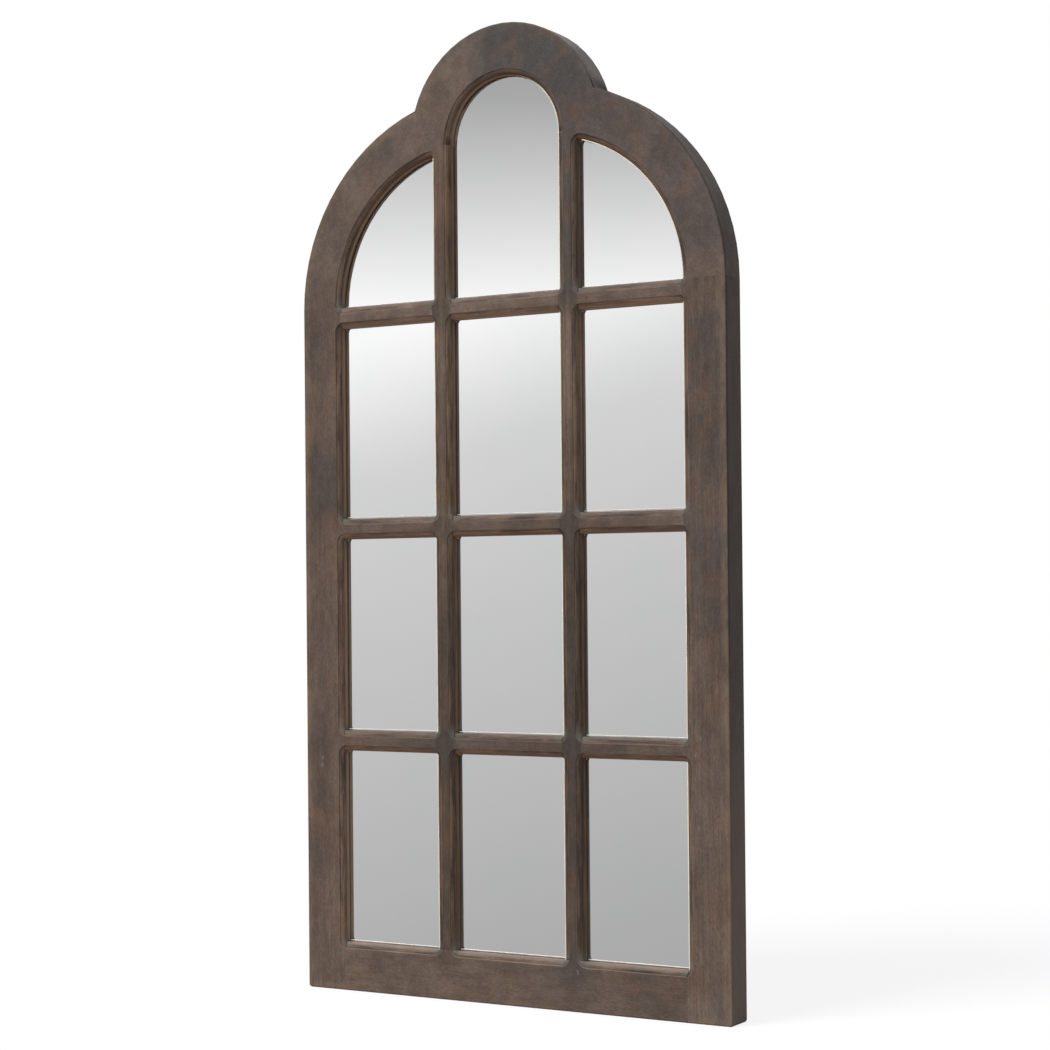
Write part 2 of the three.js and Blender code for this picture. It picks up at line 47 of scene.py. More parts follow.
# Sizes that the frame's solids have, and how many rows of plain panes there are
pane_rows = 3
foot_rail_width = 62 * MM
row_pitch = 273.5 * MM
pane_height = 247 * MM
bar_width = 26.5 * MM
spring_height = 882.5 * MM
side_sight = 247 * MM
mullion_inner = 78.5 * MM
mullion_outer = 104.5 * MM
side_arch_x = 59.5 * MM
side_arch_radius = 187.5 * MM
pane_arch_height = 1076.5 * MM
outer_haunch_x = 50 * MM
outer_haunch_radius = 255 * MM
crown_height = 1084 * MM
crown_radius = 136 * MM
face_y = -20 * MM
step_depth = 1.5 * MM
ovolo_depth = 6.5 * MM
ovolo_width = 6.6 * MM
step_width = 1.3 * MM
glass_depth = 13 * MM
sight_corner = 0.6 * MM
routing_allowance = 0.5 * MM
joint_gap = 0.3 * MM

# Ring hangers
pivot_x = 285 * MM
pivot_y = 23.35 * MM
pivot_height = 840 * MM
ring_half_width = 10 * MM
ring_bend = 2.5 * MM
ring_leg = 7 * MM
ring_wire = 1.25 * MM

# Fine lines of painted highlight along the sight lines, in metres: where they lie and their radius. Rise and
# run are the least share of its length that a stretch of outline rises, or runs to the right, where it has a
# line.
arris_growth = 0.00015
arris_radius = 0.00072
arris_rise = 0.27
foot_line_growth = -0.0014
foot_line_lift = 0.0001
foot_line_radius = 0.0006
foot_line_run = 0.8

# Dabs of filler: half of their width, depth and height, and how deep their middle lies, in metres
dab_size = (0.0019, 0.00008, 0.0055)
dab_depth = 0.00006

# Bevels and tolerances for the work on meshes, in metres
strap_bevel = 0.0001
bumper_bevel = 0.0012
merge_distance = 0.000002
touching = 0.00004
hair = 0.00002
glue_line = 0.00003
routing_reach = 0.0003
flat_angle = math.radians(0.3)

quarter = math.pi / 2
corner_steps = 6
ring_steps = 28
side_arch_steps = 40
round_top_steps = 48


# Camera, at the photograph's place and with its lens. The turns are in degrees.
camera_place = (1.4768, -2.4738, 0.5117)
camera_turns = (30.558, 0.495, -0.505)


def in_scene(name, data):
    made = bpy.data.objects.new(name, data)
    bpy.context.scene.collection.objects.link(made)
    return made


def camera_axes(turn, tilt, roll):
    ahead = Vector((-math.sin(turn) * math.cos(tilt), math.cos(turn) * math.cos(tilt), math.sin(tilt)))
    level = Vector((math.cos(turn), math.sin(turn), 0))
    upright = level.cross(ahead)
    right = math.cos(roll) * level + math.sin(roll) * upright
    up = math.cos(roll) * upright - math.sin(roll) * level
    return right, up, ahead


def place_camera():
    data = bpy.data.cameras.new("photo_camera")
    data.sensor_width = 36
    data.lens = 79.22
    data.shift_y = 0.0452
    data.clip_start = 0.05
    data.clip_end = 50
    right, up, ahead = camera_axes(*[math.radians(angle) for angle in camera_turns])
    place = Matrix((right, up, -ahead)).transposed().to_4x4()
    place.translation = Vector(camera_place)
    camera = in_scene("photo_camera", data)
    camera.matrix_world = place
    bpy.context.scene.camera = camera


place_camera()


# Openings: the distance of a point in the face from the nearest sight line, and their outlines

def box_distance(x, z, left, right, foot, top):
    across = max(left - x, x - right)
    along = max(foot - z, z - top)
    if across > 0 and along > 0:
        return math.hypot(across, along)
    return max(across, along)


def arch_distance(x, z, centre_x, centre_z, radius, inner, foot):
    across = inner - x
    along = foot - z
    beyond = math.hypot(x - centre_x, z - centre_z) - radius
    return max(across, along, beyond)


def growth_at(x, z):
    """How far a point lies outside the nearest opening. Inside one it is below zero."""
    side = abs(x)
    found = []
    for row in range(pane_rows):
        foot = foot_rail_width + row * row_pitch
        found.append(box_distance(side, z, -mullion_inner, mullion_inner, foot, foot + pane_height))
        found.append(box_distance(side, z, mullion_outer, side_sight, foot, foot + pane_height))
    middle = box_distance(side, z, -mullion_inner, mullion_inner, spring_height, pane_arch_height)
    if z > pane_arch_height:
        middle = math.hypot(side, z - pane_arch_height) - mullion_inner
    found.append(middle)
    beside = (side_arch_x, spring_height, side_arch_radius, mullion_outer, spring_height)
    found.append(arch_distance(side, z, *beside))
    return min(found)


def arc_points(x, z, radius, start, end, steps):
    turns = [start + (end - start) * i / steps for i in range(steps + 1)]
    return [(x + radius * math.cos(turn), z + radius * math.sin(turn)) for turn in turns]


def corner_arc(x, z, radius, quarters):
    """A quarter circle that starts after a number of quarter turns."""
    return arc_points(x, z, radius, quarters * quarter, (quarters + 1) * quarter, corner_steps)


def pane_outline(left, right, foot, top, growth):
    corner = sight_corner + growth
    x0, x1 = left - growth + corner, right + growth - corner
    z0, z1 = foot - growth + corner, top + growth - corner
    points = corner_arc(x0, z0, corner, 2) + corner_arc(x1, z0, corner, 3)
    return points + corner_arc(x1, z1, corner, 0) + corner_arc(x0, z1, corner, 1)


def round_top_outline(growth):
    corner = sight_corner + growth
    x, z = mullion_inner + growth - corner, spring_height - growth + corner
    points = corner_arc(-x, z, corner, 2) + corner_arc(x, z, corner, 3)
    return points + arc_points(0, pane_arch_height, mullion_inner + growth, 0, math.pi, round_top_steps)


def quarter_arch_outline(growth, mirror):
    corner = sight_corner + growth
    reach = side_arch_radius + growth - corner
    x, z = -mullion_outer + growth - corner, spring_height - growth + corner
    foot_x = -side_arch_x - math.sqrt(reach ** 2 - (z - spring_height) ** 2)
    top_z = spring_height + math.sqrt(reach ** 2 - (x + side_arch_x) ** 2)
    foot_turn = math.pi + math.atan2(spring_height - z, -side_arch_x - foot_x)
    top_turn = math.atan2(top_z - spring_height, x + side_arch_x)
    points = arc_points(foot_x, z, corner, foot_turn, 3 * quarter, corner_steps)
    points += corner_arc(x, z, corner, 3)
    points += arc_points(x, top_z, corner, 0, top_turn, corner_steps)
    radius = side_arch_radius + growth
    arch = arc_points(-side_arch_x, spring_height, radius, top_turn, foot_turn, side_arch_steps)
    points += arch[1:-1]
    return points if mirror > 0 else [(-px, pz) for px, pz in reversed(points)]


def sight_outlines(growth):
    columns = [(-side_sight, -mullion_outer), (-mullion_inner, mullion_inner), (mullion_outer, side_sight)]
    outlines = []
    for row in range(pane_rows):
        foot = foot_rail_width + row * row_pitch
        for left, right in columns:
            outlines.append(pane_outline(left, right, foot, foot + pane_height, growth))
    outlines.append(round_top_outline(growth))
    outlines.append(quarter_arch_outline(growth, 1))
    outlines.append(quarter_arch_outline(growth, -1))
    return outlines


# Small helpers for node trees: a number or colour is set on a socket, an output is linked to it

def wire(tree, value, socket):
    if isinstance(value, bpy.types.NodeSocket):
        tree.links.new(value, socket)
    else:
        socket.default_value = value


def add(tree, kind, inputs=None, **settings):
    made = tree.nodes.new(kind)
    for name, value in settings.items():
        setattr(made, name, value)
    for name, value in (inputs or {}).items():
        wire(tree, value, made.inputs[name])
    return made


def calc(tree, operation, *values):
    made = add(tree, "ShaderNodeMath", operation=operation)
    for socket, value in zip(made.inputs, values):
        wire(tree, value, socket)
    return made.outputs[0]


def product(tree, first, second):
    return calc(tree, "MULTIPLY", first, second)


def difference(tree, first, second):
    return calc(tree, "SUBTRACT", first, second)


def span(tree, value, low, high, least=0.0, most=1.0):
    """Where a value lies between low and high, smoothly, as a value from least to most."""
    inputs = {"Value": value, "From Min": low, "From Max": high, "To Min": least, "To Max": most}
    return add(tree, "ShaderNodeMapRange", inputs, interpolation_type="SMOOTHSTEP").outputs["Result"]


def scaled(tree, vector, amount):
    return add(tree, "ShaderNodeVectorMath", {0: vector, 1: amount}, operation="MULTIPLY").outputs[0]


def shifted(tree, vector, amount):
    return add(tree, "ShaderNodeVectorMath", {0: vector, 1: amount}, operation="ADD").outputs[0]


def parts_of(tree, vector):
    return add(tree, "ShaderNodeSeparateXYZ", {0: vector}).outputs


def vector_of(tree, **parts):
    return add(tree, "ShaderNodeCombineXYZ", parts).outputs[0]


def length_of(tree, across, along):
    away = vector_of(tree, X=across, Y=along)
    return add(tree, "ShaderNodeVectorMath", {0: away}, operation="LENGTH").outputs["Value"]


def noise(tree, vector, scale, detail, roughness):
    inputs = {"Vector": vector, "Scale": scale, "Detail": detail, "Roughness": roughness}
    return add(tree, "ShaderNodeTexNoise", inputs).outputs["Fac"]


def mixed(tree, share, under, over, mode="MIX"):
    """One colour over another. The mix node takes colours at places 6 and 7, and gives one at place 2."""
    made = add(tree, "ShaderNodeMix", data_type="RGBA", blend_type=mode)
    wire(tree, share, made.inputs[0])
    wire(tree, under, made.inputs[6])
    wire(tree, over, made.inputs[7])
    return made.outputs[2]


def stained(red, green, blue):
    """A colour as it looks on a screen, 0 to 255, turned into light."""
    colour = []
    for value in (red, green, blue):
        share = value / 255
        colour.append(share / 12.92 if share <= 0.04045 else ((share + 0.055) / 1.055) ** 2.4)
    return colour + [1]


def new_group(name, numbers, outputs):
    """A group of shader nodes that works on a vector and on numbers, which have usual values."""
    group = bpy.data.node_groups.new(name, "ShaderNodeTree")
    group.interface.new_socket(name="Vector", in_out="INPUT", socket_type="NodeSocketVector")
    for label, value in numbers.items():
        socket = group.interface.new_socket(name=label, in_out="INPUT", socket_type="NodeSocketFloat")
        socket.default_value = value
    for label in outputs:
        group.interface.new_socket(name=label, in_out="OUTPUT", socket_type="NodeSocketFloat")
    return group, add(group, "NodeGroupInput").outputs, add(group, "NodeGroupOutput").inputs


def use_group(tree, group, inputs):
    made = add(tree, "ShaderNodeGroup", node_tree=group)
    for name, value in inputs.items():
        wire(tree, value, made.inputs[name])
    return made.outputs


# Effects that several finishes share

def make_grain():
    """Marks of the wood itself, drawn out along X of the vector: streaks, smudges, speckle and pores."""
    group, given, out = new_group(
        "wood_grain",
        {"Streak Width": 0.003, "Streak Length": 0.09, "Smudge Width": 0.008, "Smudge Length": 0.02},
        ["Streaks", "Smudges", "Speckle", "Pores", "Height"],
    )

    def drawn_out(length, width):
        across = calc(group, "DIVIDE", 1.0, width)
        along = calc(group, "DIVIDE", 1.0, length)
        return scaled(group, given["Vector"], vector_of(group, X=along, Y=across, Z=across))

    laid = drawn_out(given["Streak Length"], given["Streak Width"])
    smudged = drawn_out(given["Smudge Length"], given["Smudge Width"])
    streaks = noise(group, laid, 1.0, 3.0, 0.6)
    finer = (6, 5, 5)
    pores = noise(group, scaled(group, laid, finer), 1.0, 2.0, 0.5)
    wire(group, span(group, streaks, 0.3, 0.7), out["Streaks"])
    wire(group, span(group, noise(group, smudged, 1.0, 2.0, 0.5), 0.32, 0.68), out["Smudges"])
    wire(group, span(group, noise(group, smudged, 4.5, 3.0, 0.75), 0.32, 0.68), out["Speckle"])
    wire(group, span(group, pores, 0.56, 0.72), out["Pores"])
    height = difference(group, streaks, product(group, span(group, pores, 0.5, 0.72), 0.6))
    wire(group, height, out["Height"])
    return group


def make_patches():
    """Cloudy stain, drawn out upwards: where it is light, where the wood's red shows, where haze lies."""
    group, given, out = new_group(
        "stain_patches",
        {"Patch Size": 0.045, "Stretch": 0.6},
        ["Mottle", "Warm", "Haze", "Flecks"],
    )
    across = calc(group, "DIVIDE", 1.0, given["Patch Size"])
    along = product(group, across, given["Stretch"])
    laid = scaled(group, given["Vector"], vector_of(group, X=across, Y=across, Z=along))
    wire(group, span(group, noise(group, laid, 1.0, 4.0, 0.6), 0.34, 0.66), out["Mottle"])
    warm_shift, haze_shift = (31.7, 10.4, 22.9), (-12.3, 43.1, 60.8)
    moved = shifted(group, laid, warm_shift)
    wire(group, span(group, noise(group, moved, 1.3, 5.0, 0.65), 0.46, 0.66), out["Warm"])
    away = shifted(group, laid, haze_shift)
    wire(group, span(group, noise(group, away, 1.0, 5.0, 0.65), 0.48, 0.66), out["Haze"])
    wire(group, span(group, noise(group, moved, 14.0, 3.0, 0.7), 0.58, 0.74), out["Flecks"])
    return group


def make_edge_wear():
    """How near a point is to the outer edge, seen from the front: 1 at the edge, 0 past the reach."""
    group, given, out = new_group(
        "edge_wear",
        {
            "Haunch X": outer_haunch_x,
            "Spring Height": spring_height,
            "Haunch Radius": outer_haunch_radius,
            "Crown Height": crown_height,
            "Crown Radius": crown_radius,
            "Reach": 0.014,
        },
        ["Edge"],
    )

    parts = parts_of(group, given["Vector"])
    across = difference(group, calc(group, "ABSOLUTE", parts["X"]), given["Haunch X"])
    along = calc(group, "MAXIMUM", difference(group, parts["Z"], given["Spring Height"]), 0.0)
    from_haunch = length_of(group, calc(group, "MAXIMUM", across, 0.0), along)
    haunch = difference(group, given["Haunch Radius"], from_haunch)
    above = difference(group, parts["Z"], given["Crown Height"])
    crown = difference(group, given["Crown Radius"], length_of(group, parts["X"], above))
    depth = calc(group, "MINIMUM", calc(group, "MAXIMUM", haunch, crown), parts["Z"])
    wire(group, span(group, calc(group, "DIVIDE", depth, given["Reach"]), 0.15, 1.0, 1.0, 0.0), out["Edge"])
    return group


def make_pane_places():
    """Where a point lies against the panes: corners that hold dirt, the crossings of bars and mullions, and
    the strip of the face beside an upright moulding."""
    group, given, out = new_group(
        "pane_places",
        {"Rail": foot_rail_width, "Pitch": row_pitch, "Bar": bar_width, "Reach": 0.016},
        ["Corner", "Crossing", "Beside"],
    )

    def apart(across, along):
        return calc(group, "DIVIDE", length_of(group, across, along), given["Reach"])

    parts = parts_of(group, given["Vector"])
    side = calc(group, "ABSOLUTE", parts["X"])
    sights = (mullion_inner, mullion_outer, side_sight)
    edges = [calc(group, "ABSOLUTE", difference(group, side, x)) for x in sights]
    near_x = calc(group, "MINIMUM", calc(group, "MINIMUM", edges[0], edges[1]), edges[2])
    rise = calc(group, "FLOORED_MODULO", difference(group, parts["Z"], given["Rail"]), given["Pitch"])
    near_foot = calc(group, "MINIMUM", rise, difference(group, given["Pitch"], rise))
    wire(group, span(group, apart(near_x, near_foot), 0.25, 1.0, 1.0, 0.0), out["Corner"])
    strip_end, strip_full = 0.0125, 0.0085
    wire(group, span(group, near_x, strip_end, strip_full), out["Beside"])

    off_x = calc(group, "ABSOLUTE", difference(group, side, (mullion_inner + mullion_outer) / 2))
    high = calc(group, "ADD", rise, product(group, given["Bar"], 0.5))
    low = difference(group, high, given["Pitch"])
    off_z = calc(group, "MINIMUM", calc(group, "ABSOLUTE", low), calc(group, "ABSOLUTE", high))
    wire(group, span(group, apart(off_x, off_z), 0.5, 2.1, 1.0, 0.0), out["Crossing"])
    return group


def make_moulding_bands():
    """The routed moulding by its depth behind the face: the small step, the round, the wall, on which light
    is painted, and its foot at the glass, which is made darker. The stain lies along it in streaks."""
    group, given, out = new_group(
        "moulding_bands",
        {"Face": face_y, "Routed": 0.0, "Step": step_depth, "Round": ovolo_depth},
        ["Step", "Round", "Wall", "Foot", "Streaks"],
    )
    routed = given["Routed"]
    parts = parts_of(group, given["Vector"])
    past_step = difference(group, difference(group, parts["Y"], given["Face"]), given["Step"])
    share = calc(group, "DIVIDE", past_step, given["Round"])
    step = span(group, share, -0.03, 0.03, 1.0, 0.0)
    crest = product(group, span(group, share, 0.0, 0.1), span(group, share, 0.6, 1.0, 1.0, 0.0))
    streaks_per_metre = (16, 560, 16)
    streaks = scaled(group, given["Vector"], streaks_per_metre)
    wire(group, product(group, step, routed), out["Step"])
    wire(group, product(group, crest, routed), out["Round"])
    wire(group, product(group, span(group, share, 0.45, 1.2), routed), out["Wall"])
    wire(group, product(group, span(group, share, 1.4, 1.72), routed), out["Foot"])
    wire(group, span(group, noise(group, streaks, 1.0, 4.0, 0.65), 0.32, 0.68), out["Streaks"])
    return group


wood_grain = make_grain()
stain_patches = make_patches()
edge_wear = make_edge_wear()
pane_places = make_pane_places()
moulding_bands = make_moulding_bands()


# Finishes

def new_material(name):
    """A material with its node tree and the coordinates that its patterns are laid out in."""
    material = bpy.data.materials.new(name)
    material.use_nodes = True
    tree = material.node_tree
    return material, tree, add(tree, "ShaderNodeTexCoord").outputs["Object"]


def patches_at(tree, place, size):
    return use_group(tree, stain_patches, {"Vector": place, "Patch Size": size})


def streaks_at(tree, place, width, length):
    return use_group(tree, wood_grain, {"Vector": place, "Streak Width": width, "Streak Length": length})


def two_tones(tree, share, dark, light):
    return mixed(tree, share, stained(*dark), stained(*light))


def layered(tree, colour, layers):
    """Lays colours over a colour, each with the share that it covers and its strength."""
    for share, strength, over in layers:
        colour = mixed(tree, product(tree, share, strength), colour, stained(*over))
    return colour


def finish_off(material, colour, roughness, metallic=0.0, specular=0.5, bump=None):
    """Sets a material's shader. A bump has a strength, a depth and the height that it follows."""
    tree = material.node_tree
    shader = tree.nodes["Principled BSDF"]
    wire(tree, colour, shader.inputs["Base Color"])
    wire(tree, roughness, shader.inputs["Roughness"])
    shader.inputs["Metallic"].default_value = metallic
    shader.inputs["Specular IOR Level"].default_value = specular
    if bump:
        strength, depth, height = bump
        raised = add(tree, "ShaderNodeBump", {"Strength": strength, "Distance": depth, "Height": height})
        wire(tree, raised.outputs[0], shader.inputs["Normal"])
    return material


def stained_wood(name, grain_turn, dark, light, drifts=(), streaky=0.06, smudge=0.02,
                 rubbed=0.1, pooled=0.1, wall_painted_light=0.5, crossed=0.45, beside=0.0, dusty=0.0,
                 underside=(108, 74, 46), ledge=(126, 117, 110)):
    """Brown-grey stain on solid wood. The grain lies grain_turn degrees up from X in the face, and smudge is
    how long the smudges are. The stain drifts to other colours: each drift is an axis, where it starts and is
    full, the colour, its strength and, where it ends again, where it fades and is gone. Rubbed is how far the
    outer edge is worn. Pooled, crossed and beside are how dark the stain lies in the moulding, at the
    crossings and next to the upright mouldings. The argument for the wall sets how much light is painted on
    the moulding's wall, and dusty is how grey the outer side is. Underside and ledge are the colours of a
    moulding that faces down and up."""
    material, tree, place = new_material(name)
    turn = (0, math.radians(grain_turn), 0)
    turned = add(tree, "ShaderNodeMapping", {"Vector": place, "Rotation": turn}).outputs[0]
    grain = use_group(tree, wood_grain, {"Vector": turned, "Smudge Length": smudge})
    patches = use_group(tree, stain_patches, {"Vector": place})
    panes = use_group(tree, pane_places, {"Vector": place})
    wear = use_group(tree, edge_wear, {"Vector": place})
    routed = add(tree, "ShaderNodeAttribute", attribute_name="routed").outputs["Fac"]
    bands = use_group(tree, moulding_bands, {"Vector": place, "Routed": routed})
    parts = parts_of(tree, place)
    facing = parts_of(tree, place.node.outputs["Normal"])
    front = span(tree, facing["Y"], -0.5, -0.95)
    back = span(tree, facing["Y"], 0.5, 0.95)
    upward = span(tree, facing["Z"], 0.2, 0.95)
    downward = span(tree, facing["Z"], -0.1, -0.8)

    def both(first, second):
        return product(tree, first, second)

    def without(share):
        return difference(tree, 1.0, share)

    plain = without(routed)
    outer = both(plain, without(calc(tree, "ADD", front, back)))
    not_upward = without(upward)

    colour = two_tones(tree, patches["Mottle"], dark, light)
    for axis, start, full, drift_colour, strength, *end in drifts:
        share = span(tree, parts[axis], start, full)
        if end:
            share = both(share, span(tree, parts[axis], end[0], end[1], 1.0, 0.0))
        colour = layered(tree, colour, [(share, strength, drift_colour)])
    colour = layered(tree, colour, [
        (patches["Warm"], 0.3, (112, 78, 56)),
        (patches["Haze"], 0.3, (77, 73, 70)),
        (panes["Crossing"], crossed, (70, 63, 59)),
        (both(panes["Beside"], plain), beside, (56, 49, 44)),
    ])

    shade = span(tree, grain["Streaks"], 0, 1, 1 - streaky, 1 + streaky)
    shade = both(shade, span(tree, grain["Smudges"], 0, 1, 0.92, 1.08))
    shade = both(shade, span(tree, grain["Speckle"], 0, 1, 0.87, 1.13))
    streaks = span(tree, bands["Streaks"], 0, 1, 0.46, 1.42)
    shade = both(shade, calc(tree, "ADD", plain, both(routed, streaks)))
    colour = mixed(tree, 1.0, colour, vector_of(tree, X=shade, Y=shade, Z=shade), "MULTIPLY")

    edge = both(both(wear["Edge"], front), span(tree, grain["Smudges"], 0, 1, 0.5, 1))
    near_foot = span(tree, parts["Z"], 0.45, 0.05)
    settled = both(span(tree, facing["Z"], -0.2, 0.7), span(tree, patches["Mottle"], 0, 1, 0.5, 1))
    arris = both(outer, span(tree, calc(tree, "ABSOLUTE", parts["Y"]), 0.0145, 0.019))
    colour = layered(tree, colour, [
        (grain["Pores"], 0.2, (58, 48, 42)),
        (patches["Flecks"], 0.12, (140, 128, 114)),
        (edge, rubbed, (140, 118, 96)),
        # Painted shade: the outer sides are made darker than the face
        (outer, 0.6, (57, 51, 48)),
        # Painted light from the floor: the outer sides are made paler towards the foot
        (both(outer, near_foot), 0.45, (122, 103, 91)),
        (both(outer, settled), dusty, (150, 141, 137)),
        (both(arris, span(tree, parts["Z"], 0.36, 0.5)), 0.5, (44, 39, 36)),
        (both(routed, both(bands["Streaks"], not_upward)), 0.35, (116, 84, 56)),
        (bands["Round"], pooled, (52, 43, 38)),
        (both(upward, routed), 0.3, ledge),
        (both(downward, routed), 0.6, underside),
        # Painted light: the step of the moulding is made paler where it lies in its own shade
        (both(bands["Step"], not_upward), 0.15, (158, 136, 118)),
        # Painted light on the moulding's wall, which lies in shade
        (both(bands["Wall"], not_upward), wall_painted_light, (176, 148, 124)),
        # Darker at the foot of the moulding's wall, by the glass
        (both(bands["Foot"], not_upward), 0.5, (40, 33, 29)),
        (both(panes["Corner"], routed), 0.4, (104, 106, 98)),
    ])

    haze_dulls = product(tree, patches["Haze"], 0.08)
    rough = calc(tree, "ADD", span(tree, grain["Streaks"], 0.0, 1.0, 0.6, 0.7), haze_dulls)
    height = calc(tree, "ADD", grain["Height"], both(routed, bands["Streaks"]))
    return finish_off(material, colour, rough, specular=0.3, bump=(0.25, 0.0003, height))


def painted_arris_highlight():
    """A painted highlight along the arris of the moulding, near white. It fades out into the stain
    towards the top of the crown's arch."""
    material, tree, place = new_material("painted_arris_highlight")
    patches = patches_at(tree, place, 0.03)
    colour = two_tones(tree, patches["Mottle"], (240, 230, 210), (250, 244, 230))
    fading = span(tree, parts_of(tree, place)["Z"], 1.13, 1.152)
    colour = layered(tree, colour, [(patches["Haze"], 0.4, (196, 180, 154)), (fading, 1.0, (96, 78, 62))])
    return finish_off(material, colour, 0.6)


def patchy(name, patch_size, dark, light, roughness):
    """A dull finish in two colours that lie in patches."""
    material, tree, place = new_material(name)
    colour = two_tones(tree, patches_at(tree, place, patch_size)["Mottle"], dark, light)
    return finish_off(material, colour, roughness)


def silvered_glass():
    material, tree, place = new_material("silvered_glass")
    cloud = noise(tree, place, 9.0, 3.0, 0.5)
    colour = mixed(tree, span(tree, cloud, 0.35, 0.65), (0.925, 0.93, 0.93, 1), (0.94, 0.94, 0.94, 1))
    return finish_off(material, colour, span(tree, cloud, 0.3, 0.7, 0.012, 0.03), metallic=1.0)


def pressed_board():
    """Brown fibre board, with flecks of fibre and a slight orange-peel surface."""
    material, tree, place = new_material("pressed_board")
    patches = patches_at(tree, place, 0.12)
    fibres = streaks_at(tree, place, 0.0008, 0.005)
    colour = two_tones(tree, patches["Mottle"], (121, 96, 70), (136, 109, 82))
    colour = layered(tree, colour, [
        (fibres["Pores"], 0.5, (92, 70, 49)),
        (patches["Flecks"], 0.35, (160, 134, 103)),
    ])
    rough = span(tree, fibres["Streaks"], 0.0, 1.0, 0.72, 0.86)
    return finish_off(material, colour, rough, bump=(0.3, 0.0002, fibres["Height"]))


def beech():
    material, tree, place = new_material("beech_dowel")
    grain = streaks_at(tree, place, 0.001, 0.02)
    colour = two_tones(tree, grain["Streaks"], (186, 150, 108), (208, 176, 134))
    return finish_off(material, colour, 0.8)


def zinc():
    """Zinc-plated steel: dull, a little cloudy, with fine rubbing marks."""
    material, tree, place = new_material("zinc_plate")
    patches = patches_at(tree, place, 0.008)
    marks = streaks_at(tree, place, 0.0003, 0.004)
    colour = two_tones(tree, patches["Mottle"], (158, 158, 154), (190, 190, 186))
    colour = layered(tree, colour, [(patches["Warm"], 0.4, (172, 165, 146))])
    rough = span(tree, marks["Streaks"], 0.0, 1.0, 0.3, 0.46)
    return finish_off(material, colour, rough, metallic=1.0, bump=(0.2, 0.00005, marks["Height"]))


def rubber():
    material, tree, place = new_material("bumper_rubber")
    mottle = patches_at(tree, place, 0.006)["Mottle"]
    colour = two_tones(tree, mottle, (40, 39, 38), (54, 53, 51))
    return finish_off(material, colour, span(tree, mottle, 0.0, 1.0, 0.7, 0.85))


